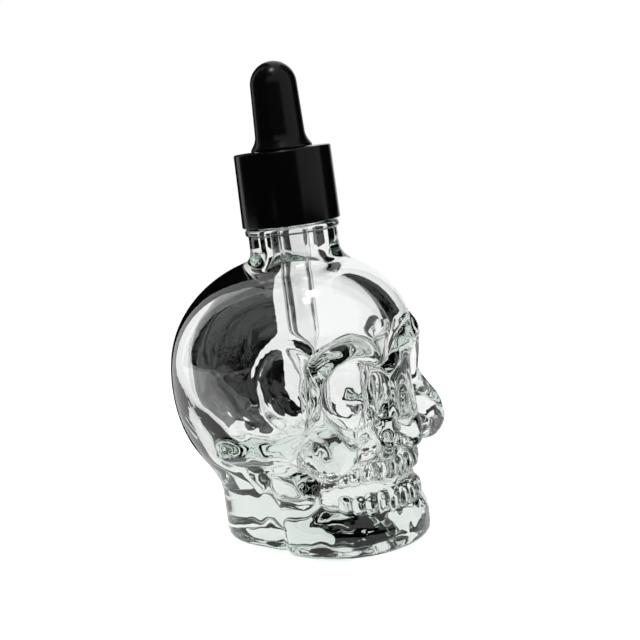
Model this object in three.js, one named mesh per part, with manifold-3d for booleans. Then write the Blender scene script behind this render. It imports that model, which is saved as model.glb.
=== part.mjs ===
// Skull dropper bottle: a moulded clear glass bottle in the shape of a skull, closed by a screw-on dropper.
// Millimetres, +Z up. The face looks along -Y, and the origin is on the table under the neck's axis.
import * as THREE from "three";
import { mergeVertices } from "three/addons/utils/BufferGeometryUtils.js";
import Module from "manifold-3d";

const wasm = await Module();
wasm.setup();

// Head: the smooth braincase, the fuller lower back of the head and the broad forehead
const HEAD_LENGTH = 62.4;
const HEAD_WIDTH = 49;
const CROWN_HEIGHT = 66;
const HEAD_LEVEL = 41;
const HEAD_BEHIND_NECK = 6.1;
const HEAD_LEAN = 0.1;
const NAPE_WIDTH = 41;
const NAPE_LENGTH = 47;
const NAPE_LEVEL = 28.5;
const NAPE_DEPTH = 18.5;
const NAPE_BEHIND_NECK = 11;
const FOREHEAD_WIDTH = 38;
const FOREHEAD_LENGTH = 41.8;
const FOREHEAD_LEVEL = 47;
const FOREHEAD_TALL = 34;
const FOREHEAD_SETBACK = 1.5;
const HEAD_BLEND = 8;
const FOREHEAD_BLEND = 6;

// Face: heights above the table, distances apart across the face, and setbacks behind the forehead
const BROW_LEVEL = 45;
const BROW_THICK = 4.5;
const BROW_SETBACK = 2.9;
const BROW_ARCH = 1.4;
const BROW_END_DROP = 3;
const BROW_SWEEP = 1.2;
const BROWS_APART = 4.4;
const BROW_ENDS_APART = 32;
const BROW_END_SETBACK = 8.6;
const EYES_APART = 21;
const EYE_LEVEL = 35.4;
const EYE_WIDTH = 14.4;
const EYE_TALL = 16.8;
const EYE_DEPTH = 12.6;
const EYE_SETBACK = 3.7;
const EYE_TURN = 0.35;
const EYE_LEAN = 0.22;
const EYE_RIM = 0.9;
const TEMPLE_LEVEL = 37.8;
const TEMPLE_LENGTH = 17;
const TEMPLE_TALL = 24;
const TEMPLE_DEPTH = 4.6;
const TEMPLE_BULGE = 8;
const TEMPLE_BEFORE_NECK = 11.2;
const TEMPLE_TURN = 0.42;
const TEMPLE_RIM = 1;
const CHEEKS_APART = 35.2;
const CHEEK_LEVEL = 25;
const CHEEK_TALL = 12;
const CHEEK_WIDTH = 7.6;
const CHEEK_LENGTH = 9.2;
const CHEEK_SETBACK = 7.9;
const ARCH_LEVEL = 24.8;
const ARCH_THICK = 4.8;
const ARCH_END_THICK = 4.2;
const ARCH_SPREAD = 43.6;
const ARCH_BEHIND_NECK = 8;
const NOSE_ROOT_LEVEL = 41.4;
const NOSE_ROOT_SETBACK = 1.6;
const NOSE_ROOT_THICK = 5.1;
const NOSE_TIP_LEVEL = 30.6;
const NOSE_STANDS_OUT = 2.6;
const NOSE_THICK = 4.4;
const NOSE_FOOT_WIDTH = 9.6;
const NOSE_HOLE_LEVEL = 23.6;
const NOSE_HOLE_WIDTH = 9.2;
const NOSE_HOLE_DEPTH = 6;
const FACE_WIDTH = 27;
const FACE_LENGTH = 24;
const FACE_TALL = 32;
const FACE_LEVEL = 31;
const FACE_SETBACK = 1;
const FACE_BLEND = 3;
const CHEEK_BLEND = 5;
const NOSE_BLEND = 1.8;

// Jaws and teeth
const UPPER_ARCH_WIDTH = 24.4;
const LOWER_ARCH_WIDTH = 23.4;
const ARCH_LENGTH = 13;
const TEETH_PER_SIDE = 7;
const UPPER_TOOTH_LEVEL = 17.2;
const UPPER_TOOTH_TALL = 5.2;
const LOWER_TOOTH_LEVEL = 11.6;
const LOWER_TOOTH_TALL = 5;
const TOOTH_STANDS_OUT = 1;
const TOOTH_SWELL = 1.06;
const GUM_SETBACK = 1.2;
const GUM_MARGIN = 0.4;
const UPPER_GUM_RISE = 5.4;
const UPPER_GUM_TALL = 17;
const LOWER_GUM_DROP = 3;
const LOWER_GUM_TALL = 13;
const JAW_LEVEL = 4.6;
const JAW_THICK = 8.8;
const JAW_WIDTH = 36.4;
const JAW_RISE = 1.8;
const JAW_ANGLE_BEFORE_NECK = 4.6;
const CHIN_WIDTH = 13;
const CHIN_LENGTH = 8.8;
const CHIN_SETBACK = 0.2;
const RAMUS_WIDTH = 11.2;
const RAMUS_THICK = 6.4;
const RAMUS_TALL = 22;
const RAMUS_STANDS_OUT = 1.2;
const JAW_BLEND = 2.5;

// Foot: the plain pedestal behind the jaw and the core of glass that carries the head on it
const PEDESTAL_WIDTH = 33;
const PEDESTAL_LENGTH = 41.2;
const PEDESTAL_TALL = 18;
const PEDESTAL_BEHIND_NECK = 5.9;
const PEDESTAL_SQUARENESS = 2.5;
const CORE_WIDTH = 24.6;
const CORE_LENGTH = 42.4;
const CORE_TALL = 30;
const CORE_LEVEL = 14;
const CORE_BEFORE_NECK = 1;
const CORE_BLEND = 4;
const HEEL_RADIUS = 2.2;

// Glass: the wall, the thick bottom and the neck with its carrying ring and plain finish
const WALL = 3;
const FOREHEAD_WALL = 6.4;
const BOTTOM_THICK = 8.5;
const BOTTOM_RADIUS = 5;
const JOWL_WIDTH = 26;
const JOWL_LENGTH = 38;
const JOWL_TALL = 34;
const JOWL_LEVEL = 23;
const JOWL_BEFORE_NECK = 1;
const BORE_FLARE = 4;
const SHOULDER_RISE = 1.2;
const NECK_DIAMETER = 20.2;
const NECK_FILLET = 3;
const RING_DIAMETER = 21.4;
const RING_THICK = 1.4;
const FINISH_DIAMETER = 16;
const BORE_DIAMETER = 10.6;
const LIP_EDGE = 0.5;

// Dropper: the cap's smooth shell and threaded insert, the rubber bulb and the glass pipette
const CAP_ABOVE_CROWN = 7;
const CAP_TALL = 16.5;
const CAP_DIAMETER = 22.3;
const CAP_DRAFT = 0.2;
const CAP_EDGE = 0.3;
const SHELL_WALL = 1;
const SHELL_PLATE = 1;
const INSERT_PLATE = 1.3;
const INSERT_BORE_DIAMETER = 18;
const INSERT_RECESS = 0.4;
const BULB_DIAMETER = 11.3;
const BULB_TOP_DIAMETER = 10.5;
const BULB_TALL = 19.6;
const BULB_WALL = 1.3;
const FLARE_DIAMETER = 13.8;
const FLARE_TALL = 2.3;
const FLARE_EDGE = 0.4;
const GROOVE_DIAMETER = 10.6;
const FLANGE_DIAMETER = 15.6;
const FLANGE_THICK = 2;
const PIPETTE_DIAMETER = 7;
const PIPETTE_WALL = 1;
const PIPETTE_LENGTH = 66;
const PIPETTE_IN_BULB = 8;
const TIP_LENGTH = 20;
const TIP_DIAMETER = 3;
const TIP_SHOULDER = 4;
const TIP_TAPER = 0.3;
const TIP_BORE_SHARE = 0.5;
const FIT_GAP = 0.15;
const RING_GAP = 0.4;

// Facets
const SKULL_COLUMNS = 65;
const FACE_CROWDING = 0.5;
const NECK_CROWDING = 0.2;
const FAN_RISE = 1.2;
const FACE_ROWS = 32;
const DOME_ROWS = 8;
const CAVITY_COLUMNS = 30;
const CAVITY_ROWS = 10;
const CAVITY_DOME_ROWS = 5;
const TURNED_COLUMNS = 40;
const PIPETTE_COLUMNS = 24;
const DOME_STEPS = 7;
const JAW_STEPS = 7;
const EYE_COLUMNS = 16;
const EYE_ROWS = 11;
const TOOTH_COLUMNS = 8;
const TOOTH_ROWS = 5;
const NOSE_STEPS = 6;
const RAYS_BEHIND_NECK = 8;
const RAY_STEP = 0.6;
const RAY_HALVINGS = 18;
const SLOPE_TICK = 0.02;
const GENTLEST_SLOPE = 0.2;
const FACE_TOP_ABOVE_HEAD_LEVEL = 3.2;
const FACE_FOOT_LEVEL = 1.8;
const FAN_ABOVE_FACE = 0.8;
const HEEL_SHARES = [0.3, 0.1, 0.0003];
const RING_SHARES = [0.85, 0.5, -0.5, -0.85, -1];
const SEAM = 0.001;
const WELD = 1e-4;
const EVENING_PASSES = 24;
const SETTLE_STRIDE = 0.6;

// Places worked out from those sizes
const foreheadFront = HEAD_BEHIND_NECK - HEAD_LENGTH / 2;
const capBottom = CROWN_HEIGHT + CAP_ABOVE_CROWN;
const capTop = capBottom + CAP_TALL;
const insertTop = capTop - SHELL_PLATE - FIT_GAP;
const flangeTop = insertTop - INSERT_PLATE - FIT_GAP;
const lipLevel = flangeTop - FLANGE_THICK - FIT_GAP;
const ringTop = capBottom - RING_GAP;
const shoulderLevel = CROWN_HEIGHT + SHOULDER_RISE;
const neckRadius = NECK_DIAMETER / 2;
const archMiddle = foreheadFront + GUM_SETBACK + ARCH_LENGTH;

// A row of evenly spaced values
const spread = (count, from, to) =>
  Array.from({ length: count }, (_, i) => from + ((to - from) * i) / (count - 1));

// Distance formulas: below zero inside a form, above zero outside it
function ellipsoid([x, y, z], [cx, cy, cz], [rx, ry, rz]) {
  const [a, b, c] = [(x - cx) / rx, (y - cy) / ry, (z - cz) / rz];
  const reach = Math.hypot(a, b, c);
  const slope = Math.hypot(a / rx, b / ry, c / rz);
  return slope > 0 ? (reach * (reach - 1)) / slope : -Math.min(rx, ry, rz);
}

// A rounded bar from point to point, each with its own radius; a skirted bar runs straight down to the table
function bar([x, y, z], joints, skirted = false) {
  let nearest = Infinity;
  for (let i = 0; i + 1 < joints.length; i++) {
    const [ax, ay, az, ar] = joints[i];
    const [bx, by, bz, br] = joints[i + 1];
    const [dx, dy, dz] = [bx - ax, by - ay, skirted ? 0 : bz - az];
    const along = (x - ax) * dx + (y - ay) * dy + (z - az) * dz;
    const t = Math.min(1, Math.max(0, along / (dx * dx + dy * dy + dz * dz)));
    const above = z - az - t * (bz - az);
    const rise = skirted ? Math.max(0, above) : above;
    const gap = Math.hypot(x - ax - t * dx, y - ay - t * dy, rise);
    nearest = Math.min(nearest, gap - ar - t * (br - ar));
  }
  return nearest;
}

// Joins two forms with a soft fillet, or cuts one out of the other with a soft edge
function join(a, b, softness) {
  const near = Math.max(softness - Math.abs(a - b), 0) / softness;
  return Math.min(a, b) - (near * near * softness) / 4;
}
const cut = (a, b, softness) => -join(-a, b, softness);

// The braincase leans forwards the higher it gets
const leant = ([x, y, z]) => [x, y + HEAD_LEAN * (z - HEAD_LEVEL), z];

// The braincase
function head(p) {
  const crown = ellipsoid(
    leant(p),
    [0, HEAD_BEHIND_NECK, HEAD_LEVEL],
    [HEAD_WIDTH / 2, HEAD_LENGTH / 2, CROWN_HEIGHT - HEAD_LEVEL],
  );
  const nape = ellipsoid(
    p,
    [0, NAPE_BEHIND_NECK, NAPE_LEVEL],
    [NAPE_WIDTH / 2, NAPE_LENGTH / 2, NAPE_DEPTH],
  );
  const forehead = ellipsoid(
    p,
    [0, foreheadFront + FOREHEAD_SETBACK + FOREHEAD_LENGTH / 2, FOREHEAD_LEVEL],
    [FOREHEAD_WIDTH / 2, FOREHEAD_LENGTH / 2, FOREHEAD_TALL / 2],
  );
  return join(join(crown, nape, HEAD_BLEND), forehead, FOREHEAD_BLEND);
}

// The hollow behind each eye's outer rim, as deep as its depth below the braincase and turned with it
function temple([x, y, z]) {
  const along = (-TEMPLE_BEFORE_NECK - HEAD_BEHIND_NECK) / (HEAD_LENGTH / 2);
  const surface = (HEAD_WIDTH / 2) * Math.sqrt(1 - along * along);
  const [c, s] = [Math.cos(TEMPLE_TURN), Math.sin(TEMPLE_TURN)];
  const [dx, dy] = [x - surface, y + TEMPLE_BEFORE_NECK];
  const middle = [TEMPLE_BULGE - TEMPLE_DEPTH, 0, TEMPLE_LEVEL];
  const radii = [TEMPLE_BULGE, TEMPLE_LENGTH / 2, TEMPLE_TALL / 2];
  return ellipsoid([dx * c - dy * s, dx * s + dy * c, z], middle, radii);
}

// The brow, the outer and lower rims of the eyes, the cheekbones and the arches that run back to the ears
function faceBones(p) {
  const rimR = BROW_THICK / 2;
  const browY = foreheadFront + BROW_SETBACK;
  const [endX, endY] = [BROW_ENDS_APART / 2, foreheadFront + BROW_END_SETBACK];
  const [cheekX, cheekY] = [CHEEKS_APART / 2, foreheadFront + CHEEK_SETBACK];
  const underEye = EYE_LEVEL - EYE_TALL / 2 - rimR;
  const rims = bar(p, [
    [BROWS_APART / 2, browY, BROW_LEVEL, rimR],
    [EYES_APART / 2, browY + BROW_SWEEP, BROW_LEVEL + BROW_ARCH, rimR],
    [endX, endY, BROW_LEVEL - BROW_END_DROP, rimR],
    [endX, endY, EYE_LEVEL, rimR],
    [cheekX, cheekY, CHEEK_LEVEL, rimR],
    [EYES_APART / 2, browY + BROW_SWEEP, underEye, rimR],
    [EYES_APART / 4, browY + BROW_SWEEP, underEye, rimR],
  ]);
  const cheek = ellipsoid(
    p,
    [cheekX, cheekY, CHEEK_LEVEL],
    [CHEEK_WIDTH / 2, CHEEK_LENGTH / 2, CHEEK_TALL / 2],
  );
  const arch = bar(p, [
    [cheekX, cheekY, ARCH_LEVEL, ARCH_THICK / 2],
    [ARCH_SPREAD / 2, ARCH_BEHIND_NECK, ARCH_LEVEL, ARCH_END_THICK / 2],
  ]);
  return join(join(rims, cheek, CHEEK_BLEND), arch, CHEEK_BLEND);
}

// The eye's hollow, which looks outwards by its turn and whose top leans outwards
function eye([x, y, z]) {
  const [c, s] = [Math.cos(EYE_TURN), Math.sin(EYE_TURN)];
  const [dx, dy, dz] = [x - EYES_APART / 2, y - foreheadFront - EYE_SETBACK, z - EYE_LEVEL];
  const [across, deep] = [dx * c + dy * s, dy * c - dx * s];
  const [lc, ls] = [Math.cos(EYE_LEAN), Math.sin(EYE_LEAN)];
  const inner = [across * lc - dz * ls, deep, across * ls + dz * lc];
  return ellipsoid(inner, [0, 0, 0], [EYE_WIDTH / 2, EYE_DEPTH - EYE_SETBACK, EYE_TALL / 2]);
}

// The nose's bridge and the flanks that lead from it to the opening
function nose(p) {
  const rootY = foreheadFront + NOSE_ROOT_SETBACK;
  const noseR = NOSE_THICK / 2;
  const bridge = bar(p, [
    [0, rootY, NOSE_ROOT_LEVEL, NOSE_ROOT_THICK / 2],
    [0, foreheadFront - NOSE_STANDS_OUT + noseR, NOSE_TIP_LEVEL, noseR],
  ]);
  const flank = bar(p, [
    [(NOSE_ROOT_THICK + BROWS_APART) / 4, rootY, NOSE_ROOT_LEVEL, noseR],
    [NOSE_FOOT_WIDTH / 2, rootY, NOSE_HOLE_LEVEL, noseR],
  ]);
  return join(bridge, flank, NOSE_BLEND);
}

// The pear-shaped nose opening: a slot that widens downwards, as deep as its depth behind the forehead
function noseHole([x, y, z]) {
  const lobe = NOSE_HOLE_WIDTH / 4;
  const slot = bar([x, 0, z], [
    [0, 0, NOSE_TIP_LEVEL - lobe, lobe / 2],
    [lobe, 0, NOSE_HOLE_LEVEL, lobe],
  ]);
  return Math.max(slot, y - foreheadFront - NOSE_HOLE_DEPTH);
}

// The face under the eyes and the upper gum
function upperJaw(p) {
  const face = ellipsoid(
    p,
    [0, foreheadFront + FACE_SETBACK + FACE_LENGTH / 2, FACE_LEVEL],
    [FACE_WIDTH / 2, FACE_LENGTH / 2, FACE_TALL / 2],
  );
  const gum = ellipsoid(
    p,
    [0, archMiddle, UPPER_TOOTH_LEVEL + UPPER_GUM_RISE],
    [UPPER_ARCH_WIDTH / 2, ARCH_LENGTH - GUM_MARGIN, UPPER_GUM_TALL / 2],
  );
  return join(face, gum, FACE_BLEND);
}

// The lower jaw with its chin, its rising branches and its gum
function lowerJaw(p) {
  const thick = JAW_THICK / 2;
  const chinY = foreheadFront + CHIN_SETBACK + CHIN_LENGTH / 2;
  const angleX = JAW_WIDTH / 2 - thick;
  const sweep = spread(JAW_STEPS, 0, 1).map((share) => {
    const turn = (share * Math.PI) / 2;
    const y = -JAW_ANGLE_BEFORE_NECK + (chinY + JAW_ANGLE_BEFORE_NECK) * Math.cos(turn);
    return [angleX * Math.sin(turn), y, JAW_LEVEL + JAW_RISE * share, thick];
  });
  const body = bar(p, sweep, true);
  const chin = ellipsoid(p, [0, chinY, JAW_LEVEL], [CHIN_WIDTH / 2, CHIN_LENGTH / 2, JAW_LEVEL]);
  const ramus = ellipsoid(
    p,
    [angleX + RAMUS_STANDS_OUT, -JAW_ANGLE_BEFORE_NECK, JAW_LEVEL + RAMUS_TALL / 2],
    [RAMUS_THICK / 2, RAMUS_WIDTH / 2, RAMUS_TALL / 2],
  );
  const gum = ellipsoid(
    p,
    [0, archMiddle, LOWER_TOOTH_LEVEL - LOWER_GUM_DROP],
    [LOWER_ARCH_WIDTH / 2, ARCH_LENGTH - GUM_MARGIN, LOWER_GUM_TALL / 2],
  );
  return join(join(join(body, chin, JAW_BLEND), ramus, JAW_BLEND), gum, JAW_BLEND);
}

// The plain foot, a rounded oval that stands straight up into the head
function pedestal([x, y, z]) {
  const [rx, ry] = [PEDESTAL_WIDTH / 2, PEDESTAL_LENGTH / 2];
  const across = Math.abs(x / rx) ** PEDESTAL_SQUARENESS;
  const along = Math.abs((y - PEDESTAL_BEHIND_NECK) / ry) ** PEDESTAL_SQUARENESS;
  const oval = (across + along) ** (1 / PEDESTAL_SQUARENESS);
  return Math.max((oval - 1) * Math.min(rx, ry), z - PEDESTAL_TALL);
}

// The neck's outline: a straight neck, the carrying ring and the finish that the cap screws on to
function neckOutline(z) {
  const middle = ringTop - RING_THICK / 2;
  const across = (z - middle) / (RING_THICK / 2);
  if (Math.abs(across) < 1) {
    const base = across > 0 ? FINISH_DIAMETER / 2 : neckRadius;
    return base + (RING_DIAMETER / 2 - base) * Math.sqrt(1 - across ** 4);
  }
  if (z < middle) return neckRadius;
  return FINISH_DIAMETER / 2 - Math.max(0, z - lipLevel + LIP_EDGE);
}

// The whole outside of the bottle before its eyes and nose are hollowed; both sides of the face are alike
function outside([side, y, z]) {
  const x = Math.abs(side);
  const p = [x, y, z];
  if (z >= shoulderLevel) return Math.hypot(x, y) - neckOutline(z);
  const core = ellipsoid(
    p,
    [0, -CORE_BEFORE_NECK, CORE_LEVEL],
    [CORE_WIDTH / 2, CORE_LENGTH / 2, CORE_TALL / 2],
  );
  const foot = join(core, pedestal(p), CORE_BLEND);
  let skull = join(cut(head(p), temple(p), TEMPLE_RIM), foot, CORE_BLEND);
  skull = join(skull, upperJaw(p), FACE_BLEND);
  skull = join(skull, faceBones(p), FACE_BLEND);
  skull = join(skull, nose(p), NOSE_BLEND);
  skull = join(skull, lowerJaw(p), JAW_BLEND);
  skull = join(skull, Math.max(Math.hypot(x, y) - neckRadius, HEAD_LEVEL - z), NECK_FILLET);
  return cut(skull, z, HEEL_RADIUS);
}

// The hollow: a smooth blown bubble that keeps a full wall of glass all round, thicker in the forehead
function hollow(p) {
  const [x, y, z] = p;
  const length = HEAD_LENGTH - WALL - FOREHEAD_WALL;
  const half = [HEAD_WIDTH / 2 - WALL, length / 2, CROWN_HEIGHT - HEAD_LEVEL - WALL];
  const dome = ellipsoid(leant(p), [0, foreheadFront + FOREHEAD_WALL + length / 2, HEAD_LEVEL], half);
  const jowl = ellipsoid(
    p,
    [0, -JOWL_BEFORE_NECK, JOWL_LEVEL],
    [JOWL_WIDTH / 2, JOWL_LENGTH / 2, JOWL_TALL / 2],
  );
  const bubble = cut(join(dome, jowl, HEAD_BLEND), z - BOTTOM_THICK, BOTTOM_RADIUS);
  const across = [Math.abs(x), y, z];
  const skull = cut(cut(outside(p), eye(across), EYE_RIM), noseHole(across), EYE_RIM);
  const walled = -join(-bubble, -skull - WALL, BOTTOM_RADIUS);
  const bore = Math.max(Math.hypot(x, y) - BORE_DIAMETER / 2, HEAD_LEVEL - z);
  return join(walled, bore, BORE_FLARE);
}

// Where a form's surface lies along a level or rising ray from a point inside it
function reach(form, from, turn, rise) {
  const level = Math.cos(rise);
  const way = [Math.sin(turn) * level, -Math.cos(turn) * level, Math.sin(rise)];
  const at = (r) => form([from[0] + way[0] * r, from[1] + way[1] * r, from[2] + way[2] * r]);
  let far = HEAD_LENGTH;
  while (far > RAY_STEP && at(far - RAY_STEP) > 0) far -= RAY_STEP;
  let near = far - RAY_STEP;
  for (let i = 0; i < RAY_HALVINGS; i++) {
    const middle = (near + far) / 2;
    if (at(middle) > 0) far = middle;
    else near = middle;
  }
  return way.map((w, k) => from[k] + (w * (near + far)) / 2);
}

// Where a form's surface lies straight out from or in to a point near it
function settled(form, spot) {
  const value = form(spot);
  const slope = [0, 1, 2].map((k) => {
    const moved = [...spot];
    moved[k] += SLOPE_TICK;
    return (form(moved) - value) / SLOPE_TICK;
  });
  const steep = Math.max(slope[0] ** 2 + slope[1] ** 2 + slope[2] ** 2, GENTLEST_SLOPE);
  const stride = Math.max(-SETTLE_STRIDE, Math.min(SETTLE_STRIDE, value / steep));
  return spot.map((v, k) => v - stride * slope[k]);
}

// Pulls a sphere's net of facets out on to a form, then evens the facets of the loose rows out over it.
// Each row is a point on the axis with the rise of its rays.
function drawn(form, rows, columns) {
  const net = new THREE.SphereGeometry(1, columns, rows.length - 1);
  let spots = rows.map(({ from, rise, crowding, pole }) =>
    Array.from({ length: columns }, (_, column) => {
      const share = 2 * Math.PI * (column / columns - 0.5);
      const turn = share - crowding * Math.sin(share);
      return pole ? from : reach(form, from, turn, rise);
    }),
  );
  for (let pass = 0; pass < EVENING_PASSES; pass++) {
    spots = spots.map((row, i) =>
      row.map((spot, j) => {
        if (!rows[i].loose) return spot;
        const [left, right] = [row[(j + columns - 1) % columns], row[(j + 1) % columns]];
        const [above, below] = [spots[i - 1][j], spots[i + 1][j]];
        const even = spot.map((v, k) => (v + (left[k] + right[k] + above[k] + below[k]) / 4) / 2);
        return settled(form, even);
      }),
    );
  }
  const place = net.getAttribute("position");
  for (let i = 0; i < rows.length; i++) {
    for (let j = 0; j <= columns; j++) place.setXYZ(i * (columns + 1) + j, ...spots[i][j % columns]);
  }
  return net;
}

// Rows of rays: level ones round the neck, loose ones round the face, and a fan from these to the neck
const level = (z) => ({ from: [0, 0, z], rise: 0, crowding: NECK_CROWDING });
const facing = (z) => ({ from: [0, RAYS_BEHIND_NECK, z], rise: 0, crowding: FACE_CROWDING, loose: true });
const fan = (z) => (share) => ({
  from: [0, RAYS_BEHIND_NECK * (1 - share), z],
  rise: FAN_RISE * share,
  crowding: FACE_CROWDING + (NECK_CROWDING - FACE_CROWDING) * share,
  loose: true,
});
const pole = (z) => ({ from: [0, 0, z], pole: true });

// A closed net as a solid, and a solid's facets as a geometry
function solid(net) {
  const bare = net.clone();
  bare.deleteAttribute("normal");
  bare.deleteAttribute("uv");
  const merged = mergeVertices(bare, WELD);
  const vertProperties = new Float32Array(merged.getAttribute("position").array);
  const triVerts = new Uint32Array(merged.index.array);
  return new wasm.Manifold(new wasm.Mesh({ numProp: 3, vertProperties, triVerts }));
}
function facets(body) {
  const mesh = body.getMesh();
  const geometry = new THREE.BufferGeometry();
  geometry.setAttribute("position", new THREE.BufferAttribute(mesh.vertProperties, 3));
  geometry.setIndex(new THREE.BufferAttribute(mesh.triVerts, 1));
  geometry.computeVertexNormals();
  return geometry;
}

// An oval body that leans sideways and is turned about the upright through its middle
const oval = (middle, radii, lean, turn, columns, rows) =>
  solid(
    new THREE.SphereGeometry(1, columns, rows)
      .rotateX(Math.PI / 2)
      .scale(...radii)
      .rotateY(lean)
      .rotateZ(turn)
      .translate(...middle),
  );

// One eye's hollow, or the wider and shallower one that eases its rim
function eyeHollow(side, ease) {
  const middle = [(side * EYES_APART) / 2, foreheadFront + EYE_SETBACK - 2 * ease, EYE_LEVEL];
  const radii = [EYE_WIDTH / 2 + ease, EYE_DEPTH - EYE_SETBACK - 2 * ease, EYE_TALL / 2 + ease];
  return oval(middle, radii, side * EYE_LEAN, side * EYE_TURN, EYE_COLUMNS, EYE_ROWS);
}

// The pear-shaped nose opening with its two lobes and the spine between them
function noseHollow() {
  const lobe = NOSE_HOLE_WIDTH / 4;
  const top = NOSE_TIP_LEVEL - lobe / 4;
  const foot = NOSE_HOLE_LEVEL - lobe;
  const dip = foot - lobe / 2;
  const pear = new THREE.Shape();
  pear.moveTo(0, top);
  pear.bezierCurveTo(lobe, top, lobe * 2, NOSE_HOLE_LEVEL + lobe, lobe * 2, NOSE_HOLE_LEVEL);
  pear.bezierCurveTo(lobe * 2, dip, lobe / 2, dip, 0, foot + lobe / 2);
  pear.bezierCurveTo(-lobe / 2, dip, -lobe * 2, dip, -lobe * 2, NOSE_HOLE_LEVEL);
  pear.bezierCurveTo(-lobe * 2, NOSE_HOLE_LEVEL + lobe, -lobe, top, 0, top);
  const block = new THREE.ExtrudeGeometry(pear, {
    depth: NOSE_HOLE_DEPTH + NOSE_STANDS_OUT + NOSE_THICK,
    bevelEnabled: false,
    curveSegments: NOSE_STEPS,
  });
  return solid(block.rotateX(Math.PI / 2).translate(0, foreheadFront + NOSE_HOLE_DEPTH, 0));
}

// A row of teeth along a dental arch, each a little wider than its share so that they touch
function teeth(width, level, tall) {
  const step = Math.PI / (2 * TEETH_PER_SIDE);
  const [archX, archY] = [width / 2 - TOOTH_STANDS_OUT, ARCH_LENGTH - TOOTH_STANDS_OUT];
  return spread(2 * TEETH_PER_SIDE, 0.5 - TEETH_PER_SIDE, TEETH_PER_SIDE - 0.5).map((place) => {
    const turn = place * step;
    const [s, c] = [Math.sin(turn), Math.cos(turn)];
    const half = ((width / 2) * c * c + ARCH_LENGTH * s * s) * (step / 2) * TOOTH_SWELL;
    const middle = [archX * s, archMiddle - archY * c, level];
    return oval(middle, [half, TOOTH_STANDS_OUT * 2, tall / 2], 0, turn, TOOTH_COLUMNS, TOOTH_ROWS);
  });
}

function skullBottle() {
  const ringMiddle = ringTop - RING_THICK / 2;
  const faceTop = HEAD_LEVEL + FACE_TOP_ABOVE_HEAD_LEVEL;
  const skin = [
    pole(lipLevel),
    level(lipLevel),
    level(lipLevel - LIP_EDGE),
    level(ringTop + SEAM),
    ...RING_SHARES.map((share) => level(ringMiddle + (share * RING_THICK) / 2)),
    level(shoulderLevel),
    ...spread(DOME_ROWS, 1, SEAM).map(fan(faceTop + FAN_ABOVE_FACE)),
    ...spread(FACE_ROWS, faceTop, FACE_FOOT_LEVEL).map(facing),
    ...HEEL_SHARES.map((share) => ({ ...facing(share * HEEL_RADIUS), loose: false })),
    pole(0),
  ];
  let outer = solid(drawn(outside, skin, SKULL_COLUMNS));
  for (const side of [-1, 1]) {
    outer = outer.subtract(eyeHollow(side, EYE_RIM)).subtract(eyeHollow(side, 0));
  }
  outer = outer.subtract(noseHollow());
  for (const tooth of [
    ...teeth(UPPER_ARCH_WIDTH, UPPER_TOOTH_LEVEL, UPPER_TOOTH_TALL),
    ...teeth(LOWER_ARCH_WIDTH, LOWER_TOOTH_LEVEL, LOWER_TOOTH_TALL),
  ]) {
    outer = outer.add(tooth);
  }
  const bubble = [
    pole(lipLevel + WALL),
    level(lipLevel + WALL),
    level(shoulderLevel - WALL),
    ...spread(CAVITY_DOME_ROWS, 1, 1 / CAVITY_DOME_ROWS).map((share) => ({
      ...level(HEAD_LEVEL),
      rise: FAN_RISE * share,
    })),
    ...spread(CAVITY_ROWS, HEAD_LEVEL, BOTTOM_THICK + BOTTOM_RADIUS / CAVITY_ROWS).map(level),
    level(BOTTOM_THICK + SEAM),
    pole(BOTTOM_THICK),
  ];
  const inner = solid(drawn(hollow, bubble, CAVITY_COLUMNS));
  return facets(outer.subtract(inner));
}

// A closed outline of [radius, height] points turned round the neck's axis
const turned = (outline, columns = TURNED_COLUMNS) =>
  new THREE.LatheGeometry(
    outline.map(([r, z]) => new THREE.Vector2(r, z)),
    columns,
  ).rotateX(Math.PI / 2);

const holeRadius = GROOVE_DIAMETER / 2 + FIT_GAP;
const capRadius = CAP_DIAMETER / 2;
const shellInside = capRadius - CAP_DRAFT - SHELL_WALL;
const boreInBulb = PIPETTE_DIAMETER / 2 + FIT_GAP;
const flangeBottom = lipLevel + FIT_GAP;
const pipetteTop = flangeBottom + PIPETTE_IN_BULB;

function capShell() {
  const topRadius = capRadius - CAP_DRAFT;
  return turned([
    [capRadius, capBottom + CAP_EDGE],
    [topRadius, capTop - CAP_EDGE],
    [topRadius - CAP_EDGE, capTop],
    [holeRadius, capTop],
    [holeRadius, capTop - SHELL_PLATE],
    [shellInside, capTop - SHELL_PLATE],
    [shellInside, capBottom],
    [capRadius - CAP_EDGE, capBottom],
    [capRadius, capBottom + CAP_EDGE],
  ]);
}

function capInsert() {
  const outer = shellInside - FIT_GAP;
  const bottom = capBottom + INSERT_RECESS;
  return turned([
    [outer, bottom],
    [outer, insertTop],
    [holeRadius, insertTop],
    [holeRadius, insertTop - INSERT_PLATE],
    [INSERT_BORE_DIAMETER / 2, insertTop - INSERT_PLATE],
    [INSERT_BORE_DIAMETER / 2, bottom],
    [outer, bottom],
  ]);
}

// A quarter of a dome from its foot to its top on the axis
const dome = (radius, foot, top) =>
  spread(DOME_STEPS, 0, Math.PI / 2).map((a, i) => [
    i === DOME_STEPS - 1 ? 0 : radius * Math.cos(a),
    foot + (top - foot) * Math.sin(a),
  ]);

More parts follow.
